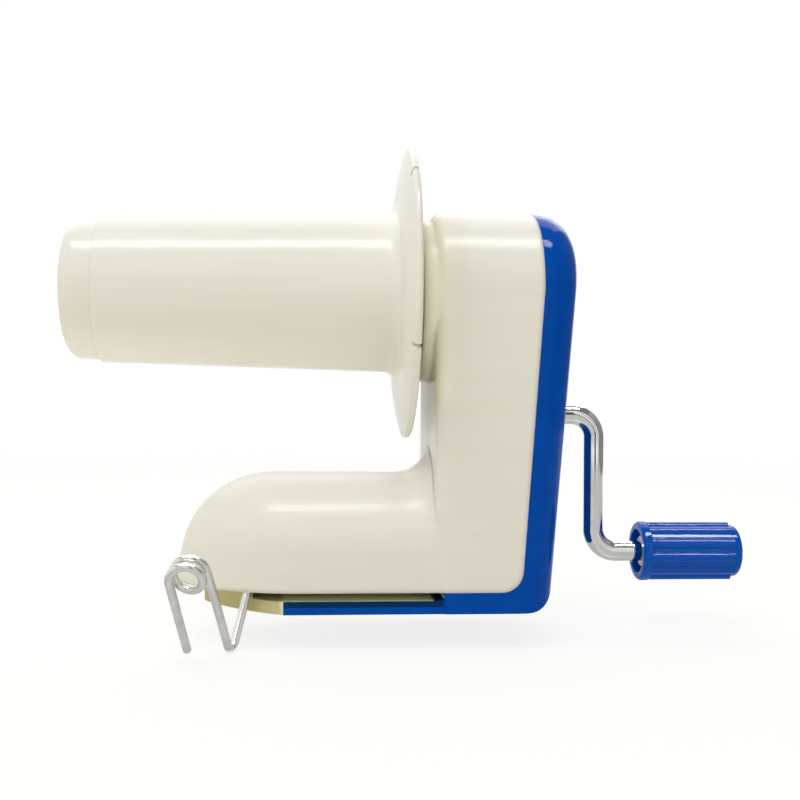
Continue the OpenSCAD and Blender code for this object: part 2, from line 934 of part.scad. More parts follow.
// Crank rod: one round bar with two bends, and a hole for the gear pin
module crank_rod() {
    color(steel)
        difference() {
            union() {
                translate([0, 0, crank_z])
                    bar(rod_front_x, arm_x - bend_r - rod_front_x, rod_r);
                translate([arm_x - bend_r, 0, crank_z - bend_r])
                    rod_bend(0);
                translate([arm_x, 0, knob_z + bend_r])
                    cylinder(h = crank_throw - 2 * bend_r, r = rod_r);
                translate([arm_x + bend_r, 0, knob_z + bend_r])
                    rod_bend(180);
                translate([0, 0, knob_z])
                    bar(arm_x + bend_r, knob_x + knob_len - 2 - arm_x - bend_r, rod_r);
            }
            translate([drive_pin_x, 0, crank_z - drive_hub_r])
                cylinder(h = 2 * drive_hub_r, r = drive_pin_r);
        }
}
module rod_bend(turn) {
    rotate([90, -turn, 0])
        rotate_extrude(angle = 90)
            translate([bend_r, 0])
                circle(rod_r);
}

// Large gear pinned to the crank rod
module drive_gear() {
    color(nylon)
        translate([0, 0, crank_z])
            difference() {
                union() {
                    along_x(drive_gear_x, drive_gear_t)
                        gear(drive_teeth, drive_m, 90);
                    bar(drive_gear_x, drive_hub_end_x - drive_gear_x, drive_hub_r);
                }
                bar(0, far, rod_r);
                for (turn = [0:60:300])
                    rotate([turn + 30, 0, 0])
                        translate([0, 0, (drive_hub_r + drive_m * drive_teeth / 2) / 2 - 0.6])
                            bar(0, far, 2.6);
                translate([drive_pin_x, 0, -drive_hub_r])
                    cylinder(h = 2 * drive_hub_r, r = drive_pin_r);
            }
}

module drive_pin() {
    color(steel)
        translate([drive_pin_x, 0, crank_z - drive_hub_r + 0.3])
            cylinder(h = 2 * drive_hub_r - 0.6, r = drive_pin_r);
}

// Ribbed knob that turns on the end of the crank rod
module knob() {
    core_r = knob_r - 1.2;
    color(blue)
        translate([0, 0, knob_z])
            difference() {
                union() {
                    turned()
                        polygon(concat(
                            [[0, knob_x]],
                            arc([knob_r - 1.2, knob_x + 1.2], 1.2, -90, 0, 5),
                            [[knob_r, knob_x + knob_collar], [core_r, knob_x + knob_collar]],
                            arc([core_r - 1.5, knob_x + knob_len - 1.5], 1.5, 0, 90, 5),
                            [[0, knob_x + knob_len]]
                        ));
                    for (i = [0:rib_count - 1])
                        rotate([360 * i / rib_count, 0, 0])
                            translate([0, 0, rib_top_r - rib_r])
                                bar(knob_x + knob_collar / 2, knob_len - knob_end_land, rib_r);
                }
                bar(0, far, rod_r + run_gap);
                bar(0, knob_x + knob_recess, knob_r - knob_wall);
                bar(knob_x + knob_len - knob_end_land - 1, far, knob_r - knob_wall - 1.2);
            }
}

module knob_ring() {
    color(steel)
        translate([0, 0, knob_z])
            ring(knob_x + knob_recess - side_gap - 1.2, 1.2, rod_r + 1.6, rod_r);
}

module knob_retainer() {
    color(steel)
        translate([0, 0, knob_z])
            ring(knob_x + knob_len - knob_end_land - 1 + side_gap, 1, rod_r + 2, rod_r);
}

module rotor_shaft() {
    color(steel)
        on_rotor()
            bar(rotor_head_s, rotor_end_s - shaft_end_gap - rotor_head_s, rotor_shaft_r);
}

module rotor_pinion() {
    color(nylon)
        on_rotor()
            difference() {
                union() {
                    along_x(along_rotor(rotor_gear_x), rotor_gear_t / cos(tilt))
                        gear(rotor_teeth, rotor_m, 270 + 180 / rotor_teeth);
                    bar(along_rotor(rotor_gear_x + rotor_gear_t / 2), rotor_hub_len, rotor_hub_r);
                }
                bar(0, far, rotor_shaft_r);
            }
}

// Rotor head: carries the spindle at an angle, and the planet pin
module rotor_head() {
    color(nylon)
        difference() {
            union() {
                on_rotor()
                    bar(rotor_head_s, rotor_head_t, rotor_head_r);
                on_bobbin()
                    bar(hub_end_x, spindle_seat_x + 2 - hub_end_x, hub_r);
            }
            on_rotor()
                bar(rotor_head_s, far, rotor_shaft_r);
            on_planet()
                bar(planet_pin_s, far, planet_pin_r);
            on_bobbin()
                bar(hub_end_x - 1, spindle_seat_x - hub_end_x + 1, spindle_r);
        }
}

module rotor_clip() {
    color(steel)
        on_rotor()
            ring(sun_spigot_end_s + 2 * run_gap, clip_t, clip_r, rotor_shaft_r);
}

module thrust_washer() {
    color(brass)
        on_rotor()
            ring(head_end_s, sun_s - 2 * run_gap - head_end_s, thrust_washer_r, rotor_shaft_r);
}

module planet_pin() {
    end_s = planet_s + planet_t + 2 * run_gap;
    color(steel)
        on_planet() {
            bar(planet_pin_s, end_s + planet_head_t / 2 - planet_pin_s, planet_pin_r);
            bar(end_s, planet_head_t, planet_head_r);
        }
}

module planet_gear() {
    color(nylon)
        on_planet()
            difference() {
                union() {
                    along_x(planet_s, planet_t)
                        gear(planet_teeth, sun_m, 90 + 180 / planet_teeth);
                    bar(planet_s - planet_hub_t + 2 * run_gap, planet_hub_t, planet_hub_r);
                }
                bar(0, far, planet_pin_r + run_gap);
            }
}

module spindle() {
    color(steel)
        on_bobbin()
            difference() {
                bar(spindle_end_x, spindle_seat_x - spindle_end_x, spindle_r);
                bar(spindle_end_x - 1, 10, screw_core_r);
            }
}

module spindle_washer() {
    color(steel)
        on_bobbin()
            ring(spindle_end_x - spindle_washer_t, spindle_washer_t, spindle_washer_r, screw_core_r + 0.2);
}

module spindle_screw() {
    head_x = spindle_end_x - spindle_washer_t;
    color(steel)
        on_bobbin() {
            bar(head_x - 0.5, 9, screw_core_r);
            difference() {
                bar(head_x - screw_head_t, screw_head_t, screw_head_r);
                mirror([1, 0, 0])
                    cross_slot(screw_head_t - head_x);
            }
        }
}

// Bobbin: tapered tube, saucer flange, web and the sleeve that runs on the spindle
function tube_r(x) =
    tube_tip_r + (tube_root_r - tube_tip_r) * (x - tube_tip_x) / (tube_root_x - tube_tip_x);
module bobbin() {
    hub_flange_r = tube_root_r + flange_fillet;
    rim_round = flange_t / 2;
    dish_r = flange_r - rim_round - hub_flange_r;
    dish_x = (flange_r - hub_flange_r) * tan(flange_flare);
    dish_steps = 8;
    function dish(i) =
        [hub_flange_r + dish_r * i / dish_steps, flange_front_x + dish_x * pow(i / dish_steps, 2)];
    rim_x = flange_front_x + dish_x;
    color(cream)
        on_bobbin()
            difference() {
                turned()
                    polygon(concat(
                        [[tube_tip_r, tube_tip_x]],
                        arc([hub_flange_r, tube_root_x], flange_fillet, 180, 90),
                        [for (i = [1:dish_steps - 1]) dish(i)],
                        arc([flange_r - rim_round, rim_x + rim_round], rim_round, -90, 90),
                        [for (i = [dish_steps - 1:-1:0]) dish(i) + [0, flange_t]],
                        [
                            [bobbin_bore_r, flange_front_x + flange_t],
                            [bobbin_bore_r, ring_plate_x],
                            [sleeve_cup_r, ring_plate_x],
                            [sleeve_cup_r, sleeve_cup_x],
                            [spindle_r + run_gap, sleeve_cup_x],
                            [spindle_r + run_gap, sleeve_end_x],
                            [sleeve_r, sleeve_end_x],
                            [sleeve_r, sleeve_cup_x - 2],
                            [sleeve_cup_r + 2, sleeve_cup_x - 2],
                            [sleeve_cup_r + 2, web_x],
                            [tube_r(web_x) - tube_wall - 0.2, web_x],
                            [tube_tip_r - tube_wall, tube_tip_x]
                        ]
                    ));
                for (i = [0:notch_count - 1])
                    rotate([first_notch + 360 * i / notch_count, 0, 0])
                        translate([-far / 2, -flange_r - 1, -0.6])
                            cube([far, 4, 1.2]);
            }
}

// Ring gear: a cup pressed into the back of the bobbin
module ring_gear() {
    color(nylon)
        on_bobbin() {
            difference() {
                union() {
                    bar(ring_plate_x, ring_plate_t, bobbin_bore_r);
                    bar(ring_plate_x, ring_x + ring_t - ring_plate_x, ring_outer_r);
                }
                bar(ring_plate_x - 1, far, ring_plate_hole_r);
                bar(ring_plate_x + ring_plate_t, ring_x - ring_plate_x - ring_plate_t, ring_inner_r);
                along_x(ring_x - 0.1, ring_t + 1)
                    gear_hole(ring_teeth, sun_m, 270 + 180 / ring_teeth);
            }
        }
}

// End cap plugged into the tip of the tube
module bobbin_cap() {
    end_x = tube_tip_x - cap_len;
    plug_r = tube_tip_r - tube_wall - 0.1;
    plug_end_x = tube_tip_x + 5;
    inner_r = plug_r - 1.8;
    color(cream)
        on_bobbin()
            turned()
                polygon(concat(
                    [[0, end_x]],
                    arc([cap_r - cap_round, end_x + cap_round], cap_round, -90, 0),
                    [
                        [cap_r, tube_tip_x],
                        [plug_r, tube_tip_x],
                        [plug_r, plug_end_x],
                        [inner_r, plug_end_x],
                        [inner_r, end_x + cap_round],
                        [inner_r - 2, end_x + 2],
                        [0, end_x + 2]
                    ]
                ));
}

// Course of the guide wire after its straight leg: bend, second leg, eye and free leg
eye_axis = [sin(eye_swing) * cos(eye_tilt), cos(eye_swing) * cos(eye_tilt), sin(eye_tilt)];
eye_side = [cos(eye_swing), -sin(eye_swing), 0];
eye_down = [sin(eye_swing) * sin(eye_tilt), cos(eye_swing) * sin(eye_tilt), -cos(eye_tilt)];
function eye_point(turn) =
    eye_centre + eye_r * (cos(360 * turn) * eye_side - sin(360 * turn) * eye_down)
        - eye_pitch * turn * eye_axis;
function bend_points(corner, from, to, r, n = 8) =
    let (
        half = acos(from * to) / 2,
        middle = corner + unit(from + to) * r / sin(half),
        a = unit(corner + from * r / tan(half) - middle),
        b = unit(corner + to * r / tan(half) - middle)
    )
        [
            for (i = [0:n])
                let (turn = (180 - 2 * half) * i / n)
                    middle + r * unit(a * sin(180 - 2 * half - turn) + b * sin(turn))
        ];
guide_second_dir = unit(eye_point(0) - guide_bend);
eye_steps = 20;
eye_points = [for (i = [0:eye_steps * eye_turns]) eye_point(i / eye_steps)];
guide_bend_points = bend_points(guide_bend, guide_leg_dir, guide_second_dir, guide_bend_r);
guide_end = eye_point(eye_turns) + guide_free_leg;
guide_points = concat(
    [guide_bend_points[0] + guide_leg_dir],
    guide_bend_points,
    eye_points,
    [guide_end]
);
function wire_ring(points, i, r, n = 12) =
    let (
        last = len(points) - 1,
        t = unit(points[min(i + 1, last)] - points[max(i - 1, 0)]),
        u = unit(cross(t, eye_axis)),
        v = cross(t, u)
    )
        [for (k = [0:n - 1]) points[i] + r * (cos(360 * k / n) * u - sin(360 * k / n) * v)];
guide_self_gap = min([
    for (i = [0:len(eye_points) - 1], j = [0:len(eye_points) - 1])
        if (j - i > eye_steps / 2) norm(eye_points[j] - eye_points[i]) - wire_d
]);
echo(guide_self_gap = guide_self_gap);
module yarn_guide() {
    leg_len = norm(guide_seat - guide_bend_points[0]);
    color(steel) {
        on_guide_leg()
            translate([0, 0, -leg_len])
                cylinder(h = leg_len + guide_seat_len, r = wire_d / 2);
        loft([for (i = [0:len(guide_points) - 1]) wire_ring(guide_points, i, wire_d / 2 - 0.01)]);
    }
}

front_casing();
rear_cover();
foot_plate();
casing_screws();
foot_screws();
sun_gear();
rotor_bush();
crank_bush();
crank_washer();
idler_axle();
idler_gear();
crank_rod();
drive_gear();
drive_pin();
knob();
knob_ring();
knob_retainer();
rotor_shaft();
rotor_pinion();
rotor_head();
rotor_clip();
thrust_washer();
planet_pin();
planet_gear();
spindle();
spindle_washer();
spindle_screw();
bobbin();
ring_gear();
bobbin_cap();
yarn_guide();
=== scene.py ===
"""Finishes, studio and camera for a hand-cranked yarn ball winder.

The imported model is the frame: every moulded, turned and bent piece keeps its own shape
and gets its finish here. All lengths are in metres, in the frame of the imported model.
"""

import math

import bpy
from bpy.props import FloatProperty, FloatVectorProperty, PointerProperty
from mathutils import Matrix, Vector


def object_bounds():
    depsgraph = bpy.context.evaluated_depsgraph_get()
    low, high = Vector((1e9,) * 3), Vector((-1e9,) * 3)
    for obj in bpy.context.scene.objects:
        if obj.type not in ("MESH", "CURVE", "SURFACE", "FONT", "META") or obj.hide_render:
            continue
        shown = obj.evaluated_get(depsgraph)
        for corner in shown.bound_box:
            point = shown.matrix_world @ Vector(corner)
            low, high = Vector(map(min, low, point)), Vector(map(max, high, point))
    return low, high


bl_info = {
    "name": "Yarn ball winder",
    "version": (1, 0, 0),
    "blender": (4, 5, 0),
    "location": "View3D > Sidebar > Winder",
    "description": "Finishes the pieces of a yarn ball winder and sets up its studio",
    "category": "Object",
}

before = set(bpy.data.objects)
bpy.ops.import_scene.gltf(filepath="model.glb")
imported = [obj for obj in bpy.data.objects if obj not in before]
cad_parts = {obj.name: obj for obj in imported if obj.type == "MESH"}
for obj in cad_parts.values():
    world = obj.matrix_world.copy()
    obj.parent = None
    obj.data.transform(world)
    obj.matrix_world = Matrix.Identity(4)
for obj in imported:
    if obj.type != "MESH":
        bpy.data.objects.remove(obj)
CAD_BOX = [list(corner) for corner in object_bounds()]

BOBBIN_PIECES = ("bobbin", "bobbin_cap")
NYLON_PIECES = (
    "sun_gear", "idler_gear", "drive_gear", "rotor_pinion",
    "rotor_head", "planet_gear", "ring_gear",
)
STEEL_PIECES = (
    "casing_screws", "foot_screws", "crank_washer", "idler_axle", "drive_pin",
    "knob_ring", "knob_retainer", "rotor_shaft", "rotor_clip", "planet_pin",
    "spindle", "spindle_washer", "spindle_screw",
)
BRONZE_PIECES = ("rotor_bush", "crank_bush", "thrust_washer")

# Parts of a moulding with painted light or shade in a colour of their own: painted light
# at the boss and in the clamp slot, painted shade on the tongue. Along each axis, the place
# where the painted colour sets in and the place where it is full
BOSS_PAINTED_LIGHT_ZONE = (("X", 0.012, 0.002), ("Z", 0.060, 0.068))
SLOT_PAINTED_LIGHT_ZONE = (("X", -0.0425, -0.0400),)
TONGUE_PAINTED_SHADE_ZONE = (("X", 0.0072, 0.0062), ("Z", 0.0020, 0.0023))

# How close the marks on a plastic surface lie, in marks per metre
DRIFT_RATE = 22.0
HAZE_RATE = 70.0
GRAIN_RATE = 1400.0
MOULD_STREAK_RATE = (14.0, 160.0, 260.0)
FLOW_RATE = (90.0, 90.0, 27.0)

# The same on metal, where the streaks are closest across the bar
METAL_HAZE_RATE = 160.0
ROD_STREAK_RATE = (60.0, 900.0, 60.0)
WIRE_STREAK_RATE = (700.0, 700.0, 90.0)
TURNED_STREAK_RATE = (90.0, 700.0, 700.0)

# Least and most of a finish's roughness, as shares of the value that is set for it
MOULDED_ROUGHNESS = (0.8, 1.3)
METAL_ROUGHNESS = (0.7, 1.4)

GRAIN_STRENGTH = 0.35
FLOW_STRENGTH = 0.12
FLOW_DEPTH = 4.0  # times the depth of the grain
DRAW_STRENGTH = 0.4
PLASTIC_IOR = 1.46
PLAIN_SHEEN = 0.5
NYLON_DEEP_SHARE = 0.94
DULL_METAL_SHARE = 0.86

BEVEL_SAMPLES = 6
WELD_REACH = 0.000001
SHADING_WEIGHT = 60
REAL_EDGE = math.radians(32)
WIRE_EDGE = math.radians(40)

# The Mix node's sockets by number, because its numbers and colours share their names
MIX_NUMBER_A, MIX_NUMBER_B, MIX_NUMBER_OUT = 2, 3, 0
MIX_COLOUR_A, MIX_COLOUR_B, MIX_COLOUR_OUT = 6, 7, 2

WHITE = (1.0, 1.0, 1.0, 1.0)
BLACK = (0.0, 0.0, 0.0, 1.0)
MIDDLE = (0.0, 0.0, 0.07)
FLOOR_Z = CAD_BOX[0][2]
FLOOR_STEPS = 64
APRON_LIFT = 0.001
SENSOR_WIDTH = 36.0  # in millimetres, as the lens is
CLIP_START = 0.01


def colour(name, description, default):
    """A colour that a user would change."""
    return FloatVectorProperty(
        name=name, description=description, subtype="COLOR",
        size=3, min=0.0, max=1.0, default=default,
    )


def share(name, description, default, top=1.0):
    """A number between zero and a top value."""
    return FloatProperty(
        name=name, description=description, min=0.0, max=top, default=default,
    )


def length(name, description, default):
    """A length in metres."""
    return FloatProperty(
        name=name, description=description, default=default,
        subtype="DISTANCE", unit="LENGTH", precision=5,
    )


def angle(name, description, degrees):
    """An angle, given in degrees and kept in radians."""
    return FloatProperty(
        name=name, description=description, default=math.radians(degrees),
        subtype="ANGLE", unit="ROTATION",
    )


class WinderPlastic(bpy.types.PropertyGroup):
    """Colours and surface of the moulded pieces"""

    cream: colour("Cream", "Casing and bobbin", (0.795, 0.777, 0.722))
    cream_deep: colour(
        "Deep cream", "Thicker places of the cream mouldings", (0.778, 0.758, 0.695))
    # Painted light: a brighter cream painted on the boss, in place of light that shines through
    # the plastic there
    boss: colour("Boss", "Cream that light shines through at the rotor boss", (0.93, 0.90, 0.73))
    plate: colour("Plate", "Plate under the foot", (0.60, 0.55, 0.31))
    plate_deep: colour("Deep plate", "Thicker places of the plate", (0.54, 0.49, 0.26))
    # Painted light: a brighter plate colour painted inside the clamp slot, in place of light
    # that shines through the thin plate
    slot: colour("Slot", "Plate inside the clamp slot", (0.88, 0.90, 0.60))
    blue: colour("Blue", "Rear cover", (0.0, 0.068, 0.41))
    blue_deep: colour("Deep blue", "Thicker places of the rear cover", (0.0, 0.060, 0.38))
    # Painted shade: the upper half of the tongue is painted a darker blue as shade
    tongue: colour("Tongue", "Upper half of the tongue", (0.0, 0.030, 0.11))
    knob: colour("Knob blue", "Knob", (0.0, 0.078, 0.45))
    knob_deep: colour("Deep knob blue", "Thicker places of the knob", (0.0, 0.070, 0.41))
    nylon: colour("Nylon", "Gears and rotor head", (0.76, 0.73, 0.62))
    casing_gloss: share("Casing roughness", "Roughness of the front casing", 0.2)
    bobbin_gloss: share("Bobbin roughness", "Roughness of the bobbin", 0.18)
    blue_gloss: share("Blue roughness", "Roughness of the blue mouldings", 0.06)
    satin: share("Satin roughness", "Roughness of the plate and the nylon pieces", 0.42)
    cream_sheen: share("Cream sheen", "Strength of the reflections on the cream pieces", 0.06)
    cover_sheen: share("Cover sheen", "Strength of the reflections on the rear cover", 0.06)
    knob_sheen: share("Knob sheen", "Strength of the reflections on the knob", 0.2)
    grain: length("Mould texture", "Depth of the fine texture left by the mould", 0.00003)
    edge: length("Soft edge", "Radius of the edges as the mould leaves them", 0.00035)
    casing_edge: length("Casing edge", "Radius of the softer edges of the casing", 0.0026)
    gear_edge: length("Gear edge", "Radius of the edges of the gears", 0.000175)


class WinderMetal(bpy.types.PropertyGroup):
    """Colours and surface of the metal pieces"""

    bright: colour("Bright plating", "Crank rod", (0.78, 0.77, 0.75))
    wire: colour("Wire", "Yarn guide", (0.80, 0.78, 0.73))
    steel: colour("Plain steel", "Screws, pins and shafts", (0.50, 0.51, 0.53))
    bronze: colour("Bronze", "Bushes and thrust washer", (0.50, 0.33, 0.15))
    bright_roughness: share("Plating roughness", "Roughness of the plated rod", 0.045)
    wire_roughness: share("Wire roughness", "Roughness of the guide wire", 0.2)
    plain_roughness: share("Plain roughness", "Roughness of the plain metal", 0.34)
    draw_marks: length("Draw marks", "Depth of the marks left by drawing the bar", 0.00001)
    edge: length("Soft edge", "Radius of turned and cut edges", 0.00015)


class WinderStudio(bpy.types.PropertyGroup):
    """Floor, light and camera"""

    floor: colour("Floor", "Floor", (0.93, 0.905, 0.83))
    floor_radius: length("Floor radius", "Radius of the floor", 4.0)
    floor_white: share("Floor white", "How much of the near floor shows as plain white", 0.84)
    floor_near: length("Near floor", "How far out the near floor goes", 0.25)
    floor_far: length("Far floor", "How far out the floor is all white", 1.2)
    sky: share("Ambient light", "Strength of the light from all around", 0.46, 4.0)
    sky_tint: colour("Ambient tint", "Colour of the light from all around", (1.0, 0.965, 0.86))
    lamp_tint: colour("Lamp tint", "Colour of the soft boxes", (0.97, 0.985, 1.0))
    key: share("Key light", "Power of the soft box above, in watts", 4.5, 100.0)
    top: share("Top light", "Power of the soft box behind and above, in watts", 5.5, 100.0)
    fill: share("Fill light", "Power of the soft box behind the camera, in watts", 0.5, 100.0)
    window: share("Window", "Brightness of the highlight that glossy pieces mirror", 40.0, 80.0)
    room: share("Room", "Brightness of the room that the bright metal mirrors", 0.65)
    camera_place: FloatVectorProperty(
        name="Camera place", description="Where the camera stands", size=3,
        subtype="XYZ", unit="LENGTH", default=(-0.0319, -0.3369, 0.0634),
    )
    camera_yaw: angle("Camera yaw", "Turn of the camera to the right", 4.6)
    camera_roll: angle("Camera roll", "Roll of the camera to the left", 0.5)
    lens: share("Lens", "Focal length in millimetres", 47.57, 200.0)


class Nodes:
    """A node tree under construction, with its links made by name."""

    def __init__(self, tree):
        self.tree = tree

    def add(self, kind, **inputs):
        """A new node, with a value or another node's output for each input named."""
        node = self.tree.nodes.new(kind)
        for key, value in inputs.items():
            self.feed(node, key.replace("_", " "), value)
        return node

    def feed(self, node, socket, value):
        """Link one input of a node, or set its value."""
        if isinstance(value, bpy.types.NodeSocket):
            self.tree.links.new(value, node.inputs[socket])
        else:
            node.inputs[socket].default_value = value

    def local(self):
        """Places on the piece, in metres."""
        return self.add("ShaderNodeTexCoord").outputs["Object"]

    def maths(self, operation, first, second):
        """A number worked out from two others."""
        made = self.add("ShaderNodeMath")
        made.operation = operation
        self.feed(made, 0, first)
        self.feed(made, 1, second)
        return made.outputs[0]

    def mixed(self, factor, first, second):
        """The first shader where the factor is zero, and the second where it is one."""
        made = self.add("ShaderNodeMixShader", Fac=factor)
        self.feed(made, 1, first.outputs[0])
        self.feed(made, 2, second.outputs[0])
        return made.outputs[0]

    def seen_white(self):
        """One where the camera, a mirror or glass looks, and zero for plain light."""
        path = self.add("ShaderNodeLightPath")
        total = path.outputs["Is Camera Ray"]
        for other in ("Is Glossy Ray", "Is Transmission Ray"):
            total = self.maths("MAXIMUM", total, path.outputs[other])
        return total


class Finish(Nodes):
    """The material of a piece under construction."""

    def __init__(self, name):
        self.material = bpy.data.materials.new(name)
        self.material.use_nodes = True
        super().__init__(self.material.node_tree)
        self.surface = self.tree.nodes["Principled BSDF"]

    def noise(self, place, rate, detail=2.0, roughness=0.5):
        """Cloudy marks, as close on every axis."""
        made = self.add(
            "ShaderNodeTexNoise",
            Vector=place, Scale=rate, Detail=detail, Roughness=roughness,
        )
        return made.outputs["Fac"]

    def streaks(self, place, rates, detail):
        """Cloudy marks that are closer on one axis than on another."""
        stretched = self.add("ShaderNodeMapping", Vector=place, Scale=rates)
        return self.noise(stretched.outputs["Vector"], 1.0, detail)

    def ramp(self, factor, low, high, start=0.35, end=0.65):
        """A colour between two others."""
        made = self.add("ShaderNodeValToRGB", Fac=factor)
        first, last = made.color_ramp.elements
        first.position, last.position = start, end
        first.color, last.color = (*low, 1.0), (*high, 1.0)
        return made.outputs["Color"]

    def spread(self, factor, middle, shares):
        """A number around a middle value, within two shares of it."""
        low, high = shares
        made = self.add(
            "ShaderNodeMapRange", Value=factor, To_Min=middle * low, To_Max=middle * high,
        )
        return made.outputs["Result"]

    def rise(self, value, start, full):
        """A share that goes softly from zero at one value to one at another."""
        made = self.add("ShaderNodeMapRange", Value=value, From_Min=start, From_Max=full)
        made.interpolation_type = "SMOOTHSTEP"
        return made.outputs["Result"]

    def mean(self, first, second):
        """The mean of two numbers."""
        made = self.add("ShaderNodeMix", Factor=0.5)
        made.data_type = "FLOAT"
        self.feed(made, MIX_NUMBER_A, first)
        self.feed(made, MIX_NUMBER_B, second)
        return made.outputs[MIX_NUMBER_OUT]

    def with_painted_light_or_shade(self, plain, tint, zone):
        """The plain colour, with painted light or shade in another colour in a zone of the
        piece.
        """
        axes = self.add("ShaderNodeSeparateXYZ", Vector=self.local()).outputs
        factor, *others = [self.rise(axes[axis], start, full) for axis, start, full in zone]
        for other in others:
            factor = self.maths("MULTIPLY", factor, other)
        made = self.add("ShaderNodeMix", Factor=factor)
        made.data_type = "RGBA"
        self.feed(made, MIX_COLOUR_A, plain)
        self.feed(made, MIX_COLOUR_B, (*tint, 1.0))
        return made.outputs[MIX_COLOUR_OUT]

    def soft_edge(self, radius):
        """The direction of the surface, rounded at the edges."""
        made = self.add("ShaderNodeBevel", Radius=radius)
        made.samples = BEVEL_SAMPLES
        return made.outputs["Normal"]

    def bump(self, height, distance, normal, strength):
        """The direction of the surface, with fine marks of some depth."""
        made = self.add(
            "ShaderNodeBump",
            Strength=strength, Distance=distance, Height=height, Normal=normal,
        )
        return made.outputs["Normal"]

    def done(self, **inputs):
        """The material, with the inputs of its surface given by name."""
        for key, value in inputs.items():
            self.feed(self.surface, key.replace("_", " "), value)
        return self.material


def moulded(name, plain, deep, roughness, grain, edge, sheen=PLAIN_SHEEN, zone=(), tint=None):
    """Injection-moulded plastic: slow drifts of colour and gloss, a fine mould texture, and
    painted light or shade in the tint's colour where a zone is given.
    """
    finish = Finish(name)
    place = finish.local()
    drift = finish.noise(place, DRIFT_RATE, detail=3.0)
    streaks = finish.streaks(place, MOULD_STREAK_RATE, detail=3.0)
    haze = finish.noise(place, HAZE_RATE, detail=4.0, roughness=0.6)
    flow = finish.streaks(place, FLOW_RATE, detail=2.0)
    skin = finish.ramp(finish.mean(drift, streaks), deep, plain, start=0.4, end=0.6)
    # Painted light or shade: the tint colours the zone brighter or darker in place of the light
    # or shade that falls there
    if zone:
        skin = finish.with_painted_light_or_shade(skin, tint, zone)
    normal = finish.soft_edge(edge)
    normal = finish.bump(finish.noise(place, GRAIN_RATE), grain, normal, GRAIN_STRENGTH)
    normal = finish.bump(flow, grain * FLOW_DEPTH, normal, FLOW_STRENGTH)
    return finish.done(
        Base_Color=skin,
        Roughness=finish.spread(finish.mean(haze, streaks), roughness, MOULDED_ROUGHNESS),
        Specular_IOR_Level=sheen,
        IOR=PLASTIC_IOR,
        Normal=normal,
    )


def drawn_metal(name, plain, roughness, marks, edge, streak_rate):
    """Drawn or turned metal: streaks along the bar, with a slightly uneven gloss."""
    finish = Finish(name)
    place = finish.local()
    streaks = finish.streaks(place, streak_rate, detail=3.0)
    haze = finish.noise(place, METAL_HAZE_RATE, detail=3.0)
    dull = tuple(DULL_METAL_SHARE * part for part in plain)
    return finish.done(
        Base_Color=finish.ramp(haze, dull, plain),
        Roughness=finish.spread(streaks, roughness, METAL_ROUGHNESS),
        Metallic=1.0,
        Normal=finish.bump(streaks, marks, finish.soft_edge(edge), DRAW_STRENGTH),
    )


def smooth(piece, edge_angle):
    """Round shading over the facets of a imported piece, with its real edges kept."""
    mesh = piece.data
    if mesh.has_custom_normals:
        with bpy.context.temp_override(object=piece, active_object=piece):
            bpy.ops.mesh.customdata_custom_splitnormals_clear()
    for face in mesh.polygons:
        face.use_smooth = True
    weld = piece.modifiers.new("Weld", "WELD")
    weld.merge_threshold = WELD_REACH
    split = piece.modifiers.new("Real edges", "EDGE_SPLIT")
    split.split_angle = edge_angle
    even = piece.modifiers.new("Even shading", "WEIGHTED_NORMAL")
    even.weight = SHADING_WEIGHT


def dress(names, material, edge_angle=REAL_EDGE):
    """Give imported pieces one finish."""
    for name in names:
        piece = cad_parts[name]
        piece.data.materials.clear()
        piece.data.materials.append(material)
        smooth(piece, edge_angle)


class WINDER_OT_casing(bpy.types.Operator):
    """Finish the cream front casing and the plate under its foot"""

    bl_idname = "winder.casing"
    bl_label = "Casing"

    def execute(self, context):
        look = context.scene.winder_plastic
        # The casing gets painted light at the boss, a brighter cream in the boss zone
        dress(("front_casing",), moulded(
            "cream_moulding", look.cream, look.cream_deep, look.casing_gloss, look.grain,
            look.casing_edge, look.cream_sheen, BOSS_PAINTED_LIGHT_ZONE, look.boss,
        ))
        # The plate gets painted light inside the clamp slot, a brighter colour in the slot zone
        dress(("foot_plate",), moulded(
            "plate_moulding", look.plate, look.plate_deep, look.satin, look.grain,
            look.edge, look.cream_sheen, SLOT_PAINTED_LIGHT_ZONE, look.slot,
        ))
        return {"FINISHED"}


class WINDER_OT_cover(bpy.types.Operator):
    """Finish the blue rear cover"""

    bl_idname = "winder.cover"
    bl_label = "Rear cover"

    def execute(self, context):
        look = context.scene.winder_plastic
        # The rear cover gets painted shade on the upper half of the tongue, a darker blue in the
        # tongue zone
        dress(("rear_cover",), moulded(
            "blue_moulding", look.blue, look.blue_deep, look.blue_gloss, look.grain,
            look.edge, look.cover_sheen, TONGUE_PAINTED_SHADE_ZONE, look.tongue,
        ))
        return {"FINISHED"}


class WINDER_OT_bobbin(bpy.types.Operator):
    """Finish the bobbin and its end cap"""

    bl_idname = "winder.bobbin"
    bl_label = "Bobbin"

    def execute(self, context):
        look = context.scene.winder_plastic
        dress(BOBBIN_PIECES, moulded(
            "bobbin_moulding", look.cream, look.cream_deep, look.bobbin_gloss, look.grain,
            look.edge, look.cream_sheen,
        ))
        return {"FINISHED"}


class WINDER_OT_knob(bpy.types.Operator):
    """Finish the ribbed knob"""

    bl_idname = "winder.knob"
    bl_label = "Knob"

    def execute(self, context):
        look = context.scene.winder_plastic
        dress(("knob",), moulded(
            "knob_moulding", look.knob, look.knob_deep, look.blue_gloss, look.grain,
            look.edge, look.knob_sheen,
        ))
        return {"FINISHED"}


